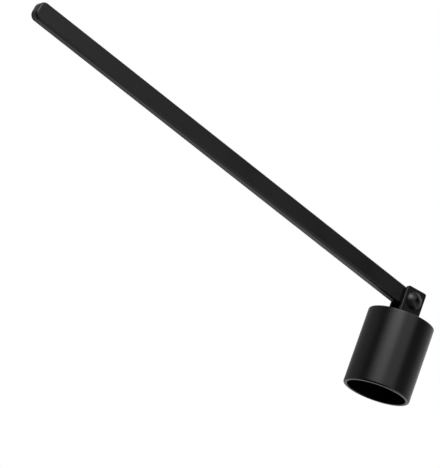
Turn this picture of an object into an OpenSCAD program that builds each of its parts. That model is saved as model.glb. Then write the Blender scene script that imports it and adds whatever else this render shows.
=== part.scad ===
// Candle snuffer with a pivoting bell: a bell that stands over the flame,
// a folded sheet yoke screwed to its top, and a long bar handle that tilts in the yoke.
// Millimetres. The origin is the centre of the bell's mouth, +Z runs up the bell's axis,
// the pivot lies along Y and the handle reaches towards -X.

/* [Bell] */
// Outer diameter of the bell
bell_d = 30; // [26:0.5:36]
// Height of the bell from its mouth to its flat top
bell_h = 34.8; // [30:0.1:45]
// Thickness of the bell's side wall
bell_wall = 1.7; // [1.2:0.1:2]
// Thickness of the bell's flat top
bell_top = 1.5; // [1.2:0.1:2.5]
// Rounding of the outer edge of the top
top_round = 0.5; // [0.2:0.1:1]
// Rounding of the outer edge of the mouth
rim_round = 0.7; // [0.2:0.1:0.8]
// Rounding of the inner edge of the mouth
lip_round = 0.3; // [0.2:0.1:0.5]
// Radius of the corner inside the bell, below its top
inner_corner = 3; // [2:0.5:5]

/* [Yoke] */
// Outer width of the yoke, measured along the pivot
yoke_w = 9.5; // [8.8:0.1:11]
// Width of each ear, measured across the pivot
ear_w = 10.6; // [9:0.1:12]
// Height of the ears above the bell's top
ear_h = 14.1; // [13.4:0.1:18]
// Thickness of the yoke's sheet
sheet_t = 1.3; // [1:0.1:1.5]
// Inner radius of the folds between the base and the ears
fold_r = 0.5; // [0.4:0.1:0.8]
// Rounding of the ears' upper corners
ear_corner = 1.6; // [0.8:0.1:3]
// Rounding of the outer edges of the ears
ear_edge = 0.5; // [0.2:0.1:0.6]

/* [Handle] */
// Width of the bar, seen along the pivot
bar_w = 8.3; // [6.5:0.1:8.6]
// Thickness of the bar, along the pivot
bar_t = 5.1; // [4.6:0.1:5.2]
// Length from the pivot to the free end
bar_reach = 217; // [150:1:260]
// Rounding of the bar's long edges
bar_edge = 1; // [0.5:0.1:1.5]
// Rounding of the free end's two corners, seen along the pivot
tip_round = 2.9; // [1.5:0.1:4]
// Angle of the handle above the bell's top plane, in degrees
bar_rise = 8.5; // [-13.5:0.5:90]

/* [Pivot] */
// Height of the pivot above the bell's top
pivot_rise = 8.6; // [8.6:0.1:11]
// Outer diameter of the pivot's barrel
barrel_d = 4; // [3.5:0.1:4.5]
// Diameter of the two domed heads
head_d = 7.8; // [6.5:0.1:8.5]
// Height of the domed heads above the ears
head_h = 2.2; // [1.6:0.1:3]
// Thickness of the friction washers between the ears and the bar
washer_t = 0.8; // [0.5:0.1:0.8]
// Diameter of the friction washers
washer_d = 7.2; // [6.5:0.1:7.4]

/* [Fasteners] */
// Nominal diameter of the screw that holds the yoke
screw_d = 3; // [2.5:0.5:3]
// Width across the flats of its nut
nut_flats = 5.5; // [5:0.5:5.5]
// Height of its nut
nut_h = 1.8; // [1.8:0.1:2.4]

/* [Hidden] */
$fn = 96;

bell_r = bell_d / 2;
bore_r = bell_r - bell_wall;
yoke_half = yoke_w / 2;
ear_inner = yoke_half - sheet_t;
fold_outer = fold_r + sheet_t;
bar_half = bar_w / 2;
pivot_z = bell_h + pivot_rise;

// Radial clearance between the barrel and the holes it runs in
run_gap = 0.05;
// Radial clearance between the screws and the holes they pass through
screw_gap = 0.1;
// Radial clearance that stands for the engaged threads
thread_gap = 0.02;
// Depth by which the barrel stops short of the far ear's outer face
clamp_gap = 0.3;
// Height of the straight band around the foot of a domed head
head_band = 0.4;
// Width across the flats and depth of the hexagon socket in each domed head
socket_flats = 2;
socket_depth = 1;
// Diameter of the threaded shank inside the barrel
pivot_thread_d = 2.5;
// Length of shank left free at the blind end of the barrel
pivot_thread_free = 1;
// Thin flat washer under the yoke screw's head
flat_washer_t = 0.5;
flat_washer_d = 7;
// Pan head of the yoke screw, and its cross recess
pan_d = 5.6;
pan_h = 2;
pan_round = 0.9;
pan_foot_round = 0.1;
cross_w = 0.7;
cross_span = 3;
cross_depth = 1;
// Length of the screw's end above the nut
screw_end = 0.4;
// Chamfer on the nut's corners and on the screw's tip
edge_cut = 0.3;
// Length added to a cutter where it leaves the solid it cuts
past = 1;
// Overlap of two shapes that are joined
lap = 0.1;

// Outline with four rounded corners, centred on the origin
module rounded_rectangle(width, height, r) {
    square([width - 2 * r, height], center = true);
    square([width, height - 2 * r], center = true);
    for (sx = [-1, 1], sy = [-1, 1])
        translate([sx * (width / 2 - r), sy * (height / 2 - r)])
            circle(r);
}

// Half outline of a turned block from z = 0 to z = height, with both outer edges rounded
module turned_half(r, height, low_round, high_round) {
    square([r - max(low_round, high_round), height]);
    translate([0, low_round])
        square([r, height - low_round - high_round]);
    square([r - low_round, low_round + lap]);
    translate([0, height - high_round - lap])
        square([r - high_round, high_round + lap]);
    translate([r - low_round, low_round])
        circle(low_round);
    translate([r - high_round, height - high_round])
        circle(high_round);
}

// Ring of the given section, used to round the mouth's inner edge
module mouth_lip_cut() {
    rotate_extrude()
        difference() {
            translate([bore_r - past, -past])
                square([past + lip_round, past + lip_round]);
            translate([bore_r + lip_round, lip_round])
                circle(lip_round);
        }
}

module bell_shell() {
    color([0.06, 0.06, 0.065])
    difference() {
        rotate_extrude()
            turned_half(bell_r, bell_h, rim_round, top_round);
        bell_hollow();
        mouth_lip_cut();
        cylinder(d = screw_d + 2 * screw_gap, h = bell_h + past);
    }
}

// Space inside the bell: a plain bore with a rounded upper corner
module bell_hollow() {
    roof = bell_h - bell_top;
    translate([0, 0, -past])
        cylinder(r = bore_r, h = past + roof - inner_corner);
    cylinder(r = bore_r - inner_corner, h = roof);
    translate([0, 0, roof - inner_corner])
        rotate_extrude()
            intersection() {
                translate([bore_r - inner_corner, 0])
                    circle(inner_corner);
                square([bore_r, inner_corner]);
            }
}

// Section of the folded sheet, seen along X, with its base on y = 0
module yoke_section() {
    difference() {
        union() {
            translate([-yoke_half, fold_outer])
                square([yoke_w, ear_h - fold_outer - ear_edge]);
            translate([-yoke_half + ear_edge, fold_outer])
                square([yoke_w - 2 * ear_edge, ear_h - fold_outer]);
            for (side = [-1, 1])
                translate([side * (yoke_half - ear_edge), ear_h - ear_edge])
                    circle(ear_edge);
            translate([-yoke_half + fold_outer, 0])
                square([yoke_w - 2 * fold_outer, fold_outer + lap]);
            for (side = [-1, 1])
                translate([side * (yoke_half - fold_outer), fold_outer])
                    circle(fold_outer);
        }
        translate([-ear_inner, fold_outer])
            square([2 * ear_inner, ear_h]);
        translate([-ear_inner + fold_r, sheet_t])
            square([2 * (ear_inner - fold_r), ear_h]);
        for (side = [-1, 1])
            translate([side * (ear_inner - fold_r), fold_outer])
                circle(fold_r);
    }
}

// Outline of an ear seen along the pivot, square at the foot and rounded at the top
module ear_outline() {
    translate([-ear_w / 2, -past])
        square([ear_w, ear_h + past - ear_corner]);
    translate([-ear_w / 2 + ear_corner, 0])
        square([ear_w - 2 * ear_corner, ear_h]);
    for (side = [-1, 1])
        translate([side * (ear_w / 2 - ear_corner), ear_h - ear_corner])
            circle(ear_corner);
}

module yoke() {
    color([0.07, 0.07, 0.075])
    translate([0, 0, bell_h])
    difference() {
        intersection() {
            rotate([90, 0, 90])
                linear_extrude(ear_w, center = true)
                    yoke_section();
            rotate([90, 0, 0])
                linear_extrude(yoke_w + past, center = true)
                    ear_outline();
            translate([0, 0, -past])
                linear_extrude(ear_h + 2 * past)
                    rounded_rectangle(ear_w, yoke_w, ear_edge);
        }
        translate([0, 0, pivot_rise])
            rotate([90, 0, 0])
                cylinder(r = barrel_d / 2 + run_gap, h = yoke_w + past, center = true);
        translate([0, 0, -past])
            cylinder(d = screw_d + 2 * screw_gap, h = sheet_t + 2 * past);
    }
}

// Pan-head screw driven up from inside the bell
module yoke_screw() {
    under_head = bell_h - bell_top - flat_washer_t;
    tip = bell_h + sheet_t + nut_h + screw_end;
    color([0.3, 0.3, 0.31])
    difference() {
        union() {
            translate([0, 0, under_head - pan_h])
                rotate_extrude()
                    turned_half(pan_d / 2, pan_h, pan_round, pan_foot_round);
            translate([0, 0, under_head - lap])
                cylinder(d = screw_d, h = tip - edge_cut - under_head + lap);
            translate([0, 0, tip - edge_cut])
                cylinder(d1 = screw_d, d2 = screw_d - 2 * edge_cut, h = edge_cut);
        }
        for (turn = [0, 90])
            rotate([0, 0, turn])
                translate([-cross_span / 2, -cross_w / 2, under_head - pan_h - past])
                    cube([cross_span, cross_w, past + cross_depth]);
    }
}

module bell_washer() {
    color([0.6, 0.6, 0.62])
    translate([0, 0, bell_h - bell_top - flat_washer_t])
        ring(flat_washer_d / 2, screw_d / 2 + screw_gap, flat_washer_t);
}

module yoke_nut() {
    base = bell_h + sheet_t;
    corner_r = nut_flats / 2 / cos(30);
    color([0.55, 0.55, 0.57])
    translate([0, 0, base])
    difference() {
        intersection() {
            cylinder(r = corner_r, h = nut_h, $fn = 6);
            union() {
                cylinder(r1 = corner_r - edge_cut, r2 = corner_r + nut_h, h = nut_h / 2);
                translate([0, 0, nut_h / 2])
                    cylinder(r1 = corner_r + nut_h, r2 = corner_r - edge_cut, h = nut_h / 2);
            }
        }
        translate([0, 0, -past])
            cylinder(r = screw_d / 2 + thread_gap, h = nut_h + 2 * past);
    }
}

// Flat ring standing on z = 0
module ring(outer_r, inner_r, height) {
    difference() {
        cylinder(r = outer_r, h = height);
        translate([0, 0, -past])
            cylinder(r = inner_r, h = height + 2 * past);
    }
}

// The bar in its own frame: the pivot at the origin, the free end towards -X
module handle_bar() {
    straight = bar_reach - tip_round;
    corner = bar_half - tip_round;
    color([0.05, 0.05, 0.055])
    translate([0, 0, pivot_z])
    rotate([0, bar_rise, 0])
    difference() {
        union() {
            translate([-straight, 0, 0])
                rotate([90, 0, 90])
                    linear_extrude(straight)
                        rounded_rectangle(bar_t, bar_w, bar_edge);
            bar_turn(bar_half, -90, 180);
            translate([-straight, 0, corner])
                bar_turn(tip_round, 90, 90);
            translate([-straight, 0, -corner])
                bar_turn(tip_round, 180, 90);
            translate([-straight, 0, 0])
                rotate([0, 0, 180])
                    linear_extrude(2 * corner, center = true)
                        outer_half(tip_round);
        }
        rotate([90, 0, 0])
            cylinder(r = barrel_d / 2 + run_gap, h = bar_t + past, center = true);
    }
}

// Outer half of a bar section that reaches r from its axis, with its outer edges rounded
module outer_half(r) {
    intersection() {
        rounded_rectangle(2 * r, bar_t, bar_edge);
        translate([0, -bar_t / 2])
            square([r, bar_t]);
    }
}

// Turned piece of the bar about the Y axis, from angle start (0 is +X, 90 is +Z) over sweep
module bar_turn(r, start, sweep) {
    rotate([90, 0, 0])
        rotate([0, 0, start])
            rotate_extrude(angle = sweep)
                outer_half(r);
}

// Domed head standing on z = 0, with a straight band at its foot
module domed_head() {
    rise = head_h - head_band;
    r = head_d / 2;
    dome_r = (r * r + rise * rise) / (2 * rise);
    cylinder(r = r, h = head_band);
    translate([0, 0, head_band])
        rotate_extrude()
            intersection() {
                translate([0, rise - dome_r])
                    circle(dome_r);
                square([r, rise]);
            }
}

// Hexagon socket that opens at the crown of a domed head
module head_socket() {
    translate([0, 0, head_h - socket_depth])
        cylinder(r = socket_flats / 2 / cos(30), h = socket_depth + past, $fn = 6);
}

// Screw half of the pivot: its head lies on the near ear, its shank runs towards +Y
module pivot_screw() {
    shank = yoke_w - pivot_thread_free;
    color([0.08, 0.08, 0.085])
    translate([0, -yoke_half, pivot_z])
    rotate([90, 0, 0])
    difference() {
        union() {
            domed_head();
            translate([0, 0, -shank])
                cylinder(d = pivot_thread_d, h = shank + lap);
        }
        head_socket();
    }
}

// Barrel half of the pivot: its head lies on the far ear, its tube runs towards -Y
module pivot_barrel() {
    tube = yoke_w - clamp_gap;
    color([0.08, 0.08, 0.085])
    translate([0, yoke_half, pivot_z])
    rotate([-90, 0, 0])
    difference() {
        union() {
            domed_head();
            translate([0, 0, -tube])
                cylinder(d = barrel_d, h = tube + lap);
        }
        translate([0, 0, -tube - past])
            cylinder(r = pivot_thread_d / 2 + thread_gap, h = tube + past);
        head_socket();
    }
}

// Friction washer against an ear's inner face, on the near side for side = -1
module friction_washer(side) {
    color([0.75, 0.73, 0.68])
    translate([0, side * (ear_inner - washer_t / 2) + washer_t / 2, pivot_z])
        rotate([90, 0, 0])
            ring(washer_d / 2, barrel_d / 2 + run_gap, washer_t);
}

module near_washer() {
    friction_washer(-1);
}

module far_washer() {
    friction_washer(1);
}

bell_shell();
yoke();
yoke_screw();
bell_washer();
yoke_nut();
handle_bar();
pivot_screw();
pivot_barrel();
near_washer();
far_washer();
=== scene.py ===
"""Candle snuffer: materials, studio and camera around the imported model."""
import math

import bpy
from mathutils import Matrix, Vector


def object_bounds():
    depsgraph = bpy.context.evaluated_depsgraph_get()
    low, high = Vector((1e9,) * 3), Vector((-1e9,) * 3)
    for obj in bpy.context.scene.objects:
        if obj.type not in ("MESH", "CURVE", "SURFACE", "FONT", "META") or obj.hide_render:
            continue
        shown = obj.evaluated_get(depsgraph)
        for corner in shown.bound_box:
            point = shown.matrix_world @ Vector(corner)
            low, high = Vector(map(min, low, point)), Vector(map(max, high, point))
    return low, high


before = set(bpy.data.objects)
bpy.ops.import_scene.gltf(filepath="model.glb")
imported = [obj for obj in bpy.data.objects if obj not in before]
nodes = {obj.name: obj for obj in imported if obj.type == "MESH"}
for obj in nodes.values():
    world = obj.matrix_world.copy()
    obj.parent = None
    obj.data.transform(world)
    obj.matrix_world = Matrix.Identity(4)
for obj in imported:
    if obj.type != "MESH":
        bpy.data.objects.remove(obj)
cad_low, cad_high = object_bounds()
scene = bpy.context.scene

# Angles are in degrees, azimuths from -Y towards +X and elevations up from level.
# Lengths are in metres, heights above the bell's mouth.

# Camera: where it stands as seen from the object
CAMERA_AZIMUTH = -28.3
CAMERA_ELEVATION = -16.3
CAMERA_ROLL = 20.3
CAMERA_DISTANCE = 1.3
CAMERA_CLIP = (0.05, 30.0)
LENS, SENSOR = 237.9, 36.0      # mm
AIM = Vector((-0.1, 0.0, 0.04))
AIM_RIGHT, AIM_UP = -0.0026, -0.0106    # how far beside AIM it looks, in its own view

# Coats of paint: shade, roughness, spread of the shade, size and depth of the orange peel,
# spread of the roughness
COATS = {
    "bell_coat": (0.0045, 0.24, 0.15, 0.0009, 0.0000015, 0.03),
    "bar_coat": (0.0060, 0.33, 0.20, 0.0006, 0.000004, 0.05),
    "yoke_coat": (0.0055, 0.30, 0.15, 0.0006, 0.000003, 0.03),
    "pivot_coat": (0.0055, 0.33, 0.15, 0.0006, 0.000002, 0.03),
    "washer_nylon": (0.02, 0.45, 0.1, 0.0005, 0.000003, 0.03),
}
COAT_IOR = 1.5
CLOUD_SCALE = 45.0              # smudges of about 2 cm

# Plated steels: shade, roughness, size of the grain
STEELS = {
    "screw_steel": (0.12, 0.35, 0.0004),
    "washer_steel": (0.5, 0.3, 0.0004),
}
GRAIN_DARK, GRAIN_LIGHT = 0.85, 1.1     # times the shade
GRAIN_SMOOTHER, GRAIN_ROUGHER = 0.05, 0.08      # off and onto the roughness
GRAIN_DEPTH = 0.00001

NOISE_LOW, NOISE_HIGH = 0.3, 0.7        # noise values at which the roughness stops changing

# Light tent: an upright ring around the bell's axis
TENT_RADIUS = 1.4
TENT_LOW, TENT_HIGH = -0.33, 2.0
TENT_SIDES = 96
TENT_BASE = 0.10                # radiance between the softboxes
PAST_FOOT, PAST_TOP = (-0.60, -0.50), (3.0, 3.1)    # edges that lie beyond the tent's own
# Softboxes in the tent: azimuths of rise and fall, heights of rise and fall, radiance
SOFTBOXES = {
    "key": ((-88, -44), (-34, -14), (0.26, 0.68), PAST_TOP, 4.9),
    "fill": ((-28, -14), (7, 28), (-0.30, -0.05), PAST_TOP, 0.45),
    "high fill": ((-28, -12), (10, 28), (0.34, 0.50), PAST_TOP, 0.50),
    "low right": ((6, 20), (36, 64), PAST_FOOT, (-0.10, 0.14), 0.45),
    "right": ((50, 95), (150, 180), PAST_FOOT, PAST_TOP, 0.34),
    "back right": ((92, 120), (179, 180), PAST_FOOT, PAST_TOP, 0.16),
    "back left": ((-180, -179), (-120, -92), PAST_FOOT, PAST_TOP, 0.16),
    "high right": ((70, 110), (179, 180), (0.55, 0.85), PAST_TOP, 0.8),
    "high left": ((-180, -179), (-125, -100), (0.55, 0.85), PAST_TOP, 0.25),
}

# Room outside the tent
WORLD_ABOVE, WORLD_BELOW = 0.35, 0.05   # radiance above and below the horizon
HORIZON = 0.05                  # sine of the elevation at which either is reached
# Soft patches of light in the room: azimuth, elevation, inner and outer angle, radiance
PATCHES = {
    "behind": (130, -8, 15, 48, 0.50),
    "low right": (45, -35, 22, 42, 0.65),
    "low behind": (110, -45, 25, 50, 0.35),
    "low left": (-150, -20, 20, 50, 0.35),
}

# Floor: a disc of pale paper
FLOOR_DROP = 0.40               # the object is held this far above it
FLOOR_RADIUS, FLOOR_RINGS, FLOOR_SIDES = 4.0, 8, 64
FLOOR_FADE = (0.9, 2.6)         # distances from the bell's axis where its fading starts and ends
FLOOR_SHADE, FLOOR_ROUGHNESS, FLOOR_GLOW = 0.80, 0.9, 0.45


def towards(azimuth, elevation):
    """Unit vector in this direction."""
    turn, lift = math.radians(azimuth), math.radians(elevation)
    return Vector((math.sin(turn) * math.cos(lift), -math.cos(turn) * math.cos(lift), math.sin(lift)))


def grey(shade):
    """Opaque colour of this shade."""
    return (shade, shade, shade, 1.0)


# ---------------------------------------------------------------- camera

def make_camera():
    azimuth, roll = math.radians(CAMERA_AZIMUTH), math.radians(CAMERA_ROLL)
    back = towards(CAMERA_AZIMUTH, CAMERA_ELEVATION)
    level_right = Vector((math.cos(azimuth), math.sin(azimuth), 0.0))
    level_up = back.cross(level_right)
    right = level_right * math.cos(roll) + level_up * math.sin(roll)
    up = level_up * math.cos(roll) - level_right * math.sin(roll)
    data = bpy.data.cameras.new("camera")
    data.lens = LENS
    data.sensor_width = SENSOR
    data.clip_start, data.clip_end = CAMERA_CLIP
    camera = bpy.data.objects.new("camera", data)
    target = AIM + right * AIM_RIGHT + up * AIM_UP
    turn = Matrix((right, up, back)).transposed()
    camera.matrix_world = Matrix.Translation(target + back * CAMERA_DISTANCE) @ turn.to_4x4()
    scene.collection.objects.link(camera)
    scene.camera = camera


# ---------------------------------------------------------------- node helpers

class Shader:
    """A small wrapper that makes and links shader nodes."""

    def __init__(self, tree):
        self.tree = tree

    def new(self, kind, **settings):
        node = self.tree.nodes.new(kind)
        for name, value in settings.items():
            setattr(node, name, value)
        return node

    def link(self, output, socket):
        self.tree.links.new(output, socket)

    def put(self, socket, value):
        """Links the socket when value is an output, and sets it when value is a number."""
        if isinstance(value, bpy.types.NodeSocket):
            self.link(value, socket)
        else:
            socket.default_value = value

    def math(self, operation, first, second):
        node = self.new("ShaderNodeMath", operation=operation)
        self.put(node.inputs[0], first)
        self.put(node.inputs[1], second)
        return node.outputs[0]

    def ramp(self, value, low, high, to_low=0.0, to_high=1.0):
        """Smooth step, from to_low where value is low to to_high where it is high."""
        node = self.new("ShaderNodeMapRange", interpolation_type="SMOOTHSTEP")
        self.link(value, node.inputs["Value"])
        node.inputs["From Min"].default_value = low
        node.inputs["From Max"].default_value = high
        node.inputs["To Min"].default_value = to_low
        node.inputs["To Max"].default_value = to_high
        return node.outputs["Result"]

    def band(self, value, rise, fall, level=1.0):
        """Rises smoothly to level over one range of value, and falls to nothing over another."""
        rising = self.ramp(value, *rise, 0.0, level)
        return self.math("MULTIPLY", rising, self.ramp(value, *fall, 1.0, 0.0))

    def noise(self, vector, scale, detail, roughness):
        node = self.new("ShaderNodeTexNoise")
        self.link(vector, node.inputs["Vector"])
        node.inputs["Scale"].default_value = scale
        node.inputs["Detail"].default_value = detail
        node.inputs["Roughness"].default_value = roughness
        return node.outputs["Fac"]


def new_material(name):
    """An empty material, and what fills it."""
    material = bpy.data.materials.new(name)
    material.use_nodes = True
    tree = material.node_tree
    tree.nodes.clear()
    return material, Shader(tree)


# ---------------------------------------------------------------- materials

def coat(name):
    """Black coat: uneven shade, roughness with soft smudges, and an orange-peel surface."""
    shade, roughness, spread, peel_size, peel_depth, smudge = COATS[name]
    material, shader = new_material(name)
    out = shader.new("ShaderNodeOutputMaterial")
    bsdf = shader.new("ShaderNodeBsdfPrincipled")
    place = shader.new("ShaderNodeTexCoord").outputs["Object"]
    cloud = shader.noise(place, CLOUD_SCALE, detail=4.0, roughness=0.55)
    peel = shader.noise(place, 1.0 / peel_size, detail=2.0, roughness=0.5)
    mix = shader.new("ShaderNodeMix", data_type="RGBA")
    shader.link(cloud, mix.inputs["Factor"])
    mix.inputs["A"].default_value = grey(shade * (1.0 - spread))
    mix.inputs["B"].default_value = grey(shade * (1.0 + spread))
    shader.link(mix.outputs["Result"], bsdf.inputs["Base Color"])
    rough = shader.ramp(cloud, NOISE_LOW, NOISE_HIGH, roughness - smudge, roughness + smudge)
    shader.link(rough, bsdf.inputs["Roughness"])
    bsdf.inputs["IOR"].default_value = COAT_IOR
    bump = shader.new("ShaderNodeBump")
    bump.inputs["Distance"].default_value = peel_depth
    shader.link(peel, bump.inputs["Height"])
    shader.link(bump.outputs["Normal"], bsdf.inputs["Normal"])
    shader.link(bsdf.outputs["BSDF"], out.inputs["Surface"])
    return material


def metal(name):
    """Plated steel with a fine tumbled grain."""
    shade, roughness, grain_size = STEELS[name]
    material, shader = new_material(name)
    out = shader.new("ShaderNodeOutputMaterial")
    bsdf = shader.new("ShaderNodeBsdfPrincipled")
    place = shader.new("ShaderNodeTexCoord").outputs["Object"]
    grain = shader.noise(place, 1.0 / grain_size, detail=3.0, roughness=0.6)
    mix = shader.new("ShaderNodeMix", data_type="RGBA")
    shader.link(grain, mix.inputs["Factor"])
    mix.inputs["A"].default_value = grey(shade * GRAIN_DARK)
    mix.inputs["B"].default_value = grey(shade * GRAIN_LIGHT)
    shader.link(mix.outputs["Result"], bsdf.inputs["Base Color"])
    smoother, rougher = roughness - GRAIN_SMOOTHER, roughness + GRAIN_ROUGHER
    shader.link(shader.ramp(grain, NOISE_LOW, NOISE_HIGH, smoother, rougher), bsdf.inputs["Roughness"])
    bsdf.inputs["Metallic"].default_value = 1.0
    bump = shader.new("ShaderNodeBump")
    bump.inputs["Distance"].default_value = GRAIN_DEPTH
    shader.link(grain, bump.inputs["Height"])
    shader.link(bump.outputs["Normal"], bsdf.inputs["Normal"])
    shader.link(bsdf.outputs["BSDF"], out.inputs["Surface"])
    return material


def dress(node, material):
    """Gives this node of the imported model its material."""
    mesh = nodes[node].data
    mesh.materials.clear()
    mesh.materials.append(material)


def make_materials():
    dress("bell_shell", coat("bell_coat"))
    dress("handle_bar", coat("bar_coat"))
    dress("yoke", coat("yoke_coat"))
    pivot = coat("pivot_coat")
    dress("pivot_screw", pivot)
    dress("pivot_barrel", pivot)
    dress("yoke_screw", metal("screw_steel"))
    plated = metal("washer_steel")
    dress("bell_washer", plated)
    dress("yoke_nut", plated)
    nylon = coat("washer_nylon")
    dress("near_washer", nylon)
    dress("far_washer", nylon)


# ---------------------------------------------------------------- studio

def softbox_glow():
    """The softboxes, each a soft band in azimuth and in height."""
    material, shader = new_material("softboxes")
    split = shader.new("ShaderNodeSeparateXYZ")
    shader.link(shader.new("ShaderNodeTexCoord").outputs["Object"], split.inputs[0])
    height = split.outputs["Z"]
    front = shader.math("MULTIPLY", split.outputs["Y"], -1.0)
    azimuth = shader.math("MULTIPLY", shader.math("ARCTAN2", split.outputs["X"], front), 180 / math.pi)
    total = 0.0
    for rise, fall, lift, drop, level in SOFTBOXES.values():
        across = shader.band(azimuth, rise, fall)
        softbox = shader.math("MULTIPLY", across, shader.band(height, lift, drop, level))
        total = shader.math("ADD", total, softbox)
    total = shader.math("ADD", total, TENT_BASE)
    glow = shader.new("ShaderNodeEmission")
    shader.link(total, glow.inputs["Strength"])
    shader.link(glow.outputs[0], shader.new("ShaderNodeOutputMaterial").inputs["Surface"])
    return material


def make_tent():
    """A ring around the bell's axis that carries the softboxes, unseen by the camera."""
    verts, faces = [], []
    for side in range(TENT_SIDES):
        angle = 2 * math.pi * side / TENT_SIDES
        x, y = TENT_RADIUS * math.sin(angle), -TENT_RADIUS * math.cos(angle)
        verts += [(x, y, TENT_LOW), (x, y, TENT_HIGH)]
        other = (side + 1) % TENT_SIDES
        faces.append((2 * side, 2 * other, 2 * other + 1, 2 * side + 1))
    mesh = bpy.data.meshes.new("light_tent")
    mesh.from_pydata(verts, [], faces)
    mesh.materials.append(softbox_glow())
    tent = bpy.data.objects.new("light_tent", mesh)
    scene.collection.objects.link(tent)
    tent.visible_camera = False
    tent.visible_shadow = False


def floor_paper():
    """Pale paper that turns clear with the distance from the bell's axis."""
    material, shader = new_material("floor_paper")
    place = shader.new("ShaderNodeTexCoord").outputs["Object"]
    flat = shader.new("ShaderNodeVectorMath", operation="MULTIPLY")
    shader.link(place, flat.inputs[0])
    flat.inputs[1].default_value = (1.0, 1.0, 0.0)      # leaves the height out
    distance = shader.new("ShaderNodeVectorMath", operation="LENGTH")
    shader.link(flat.outputs[0], distance.inputs[0])
    fade = shader.ramp(distance.outputs["Value"], *FLOOR_FADE)
    paper = shader.new("ShaderNodeBsdfPrincipled")
    paper.inputs["Base Color"].default_value = grey(FLOOR_SHADE)
    paper.inputs["Roughness"].default_value = FLOOR_ROUGHNESS
    paper.inputs["Emission Color"].default_value = grey(1.0)
    paper.inputs["Emission Strength"].default_value = FLOOR_GLOW
    clear = shader.new("ShaderNodeBsdfTransparent")
    mix = shader.new("ShaderNodeMixShader")
    shader.link(fade, mix.inputs[0])
    shader.link(paper.outputs[0], mix.inputs[1])
    shader.link(clear.outputs[0], mix.inputs[2])
    shader.link(mix.outputs[0], shader.new("ShaderNodeOutputMaterial").inputs["Surface"])
    return material


def make_floor():
    """A round pale floor that fades into the backdrop far from the object."""
    level = cad_low.z - FLOOR_DROP
    verts, faces = [(0.0, 0.0, level)], []
    for ring in range(1, FLOOR_RINGS + 1):
        reach = FLOOR_RADIUS * ring / FLOOR_RINGS
        for side in range(FLOOR_SIDES):
            angle = 2 * math.pi * side / FLOOR_SIDES
            verts.append((reach * math.cos(angle), reach * math.sin(angle), level))
    for side in range(FLOOR_SIDES):
        other = (side + 1) % FLOOR_SIDES
        faces.append((0, 1 + side, 1 + other))
        for ring in range(FLOOR_RINGS - 1):
            inner = 1 + ring * FLOOR_SIDES
            outer = inner + FLOOR_SIDES
            faces.append((inner + side, outer + side, outer + other, inner + other))
    mesh = bpy.data.meshes.new("floor")
    mesh.from_pydata(verts, [], faces)
    mesh.materials.append(floor_paper())
    floor = bpy.data.objects.new("floor", mesh)
    scene.collection.objects.link(floor)
    floor.visible_glossy = False
    floor.visible_diffuse = False


def make_world():
    """White backdrop for the camera, and a dim room with soft patches of light for the object."""
    world = bpy.data.worlds.new("studio")
    scene.world = world
    world.use_nodes = True
    world.node_tree.nodes.clear()
    shader = Shader(world.node_tree)
    backdrop = shader.new("ShaderNodeBackground")
    backdrop.inputs["Color"].default_value = grey(1.0)
    direction = shader.new("ShaderNodeTexCoord").outputs["Generated"]
    split = shader.new("ShaderNodeSeparateXYZ")
    shader.link(direction, split.inputs[0])
    light = shader.ramp(split.outputs["Z"], -HORIZON, HORIZON, WORLD_BELOW, WORLD_ABOVE)
    for azimuth, elevation, inner, outer, level in PATCHES.values():
        facing = shader.new("ShaderNodeVectorMath", operation="DOT_PRODUCT")
        shader.link(direction, facing.inputs[0])
        facing.inputs[1].default_value = towards(azimuth, elevation)
        near, far = math.cos(math.radians(inner)), math.cos(math.radians(outer))
        light = shader.math("ADD", light, shader.ramp(facing.outputs["Value"], far, near, 0.0, level))
    room = shader.new("ShaderNodeBackground")
    room.inputs["Color"].default_value = grey(1.0)
    shader.link(light, room.inputs["Strength"])
    mix = shader.new("ShaderNodeMixShader")
    shader.link(shader.new("ShaderNodeLightPath").outputs["Is Camera Ray"], mix.inputs[0])
    shader.link(room.outputs[0], mix.inputs[1])
    shader.link(backdrop.outputs[0], mix.inputs[2])
    shader.link(mix.outputs[0], shader.new("ShaderNodeOutputWorld").inputs["Surface"])


make_camera()
make_materials()
make_tent()
make_floor()
make_world()
scene.view_settings.view_transform = "Standard"
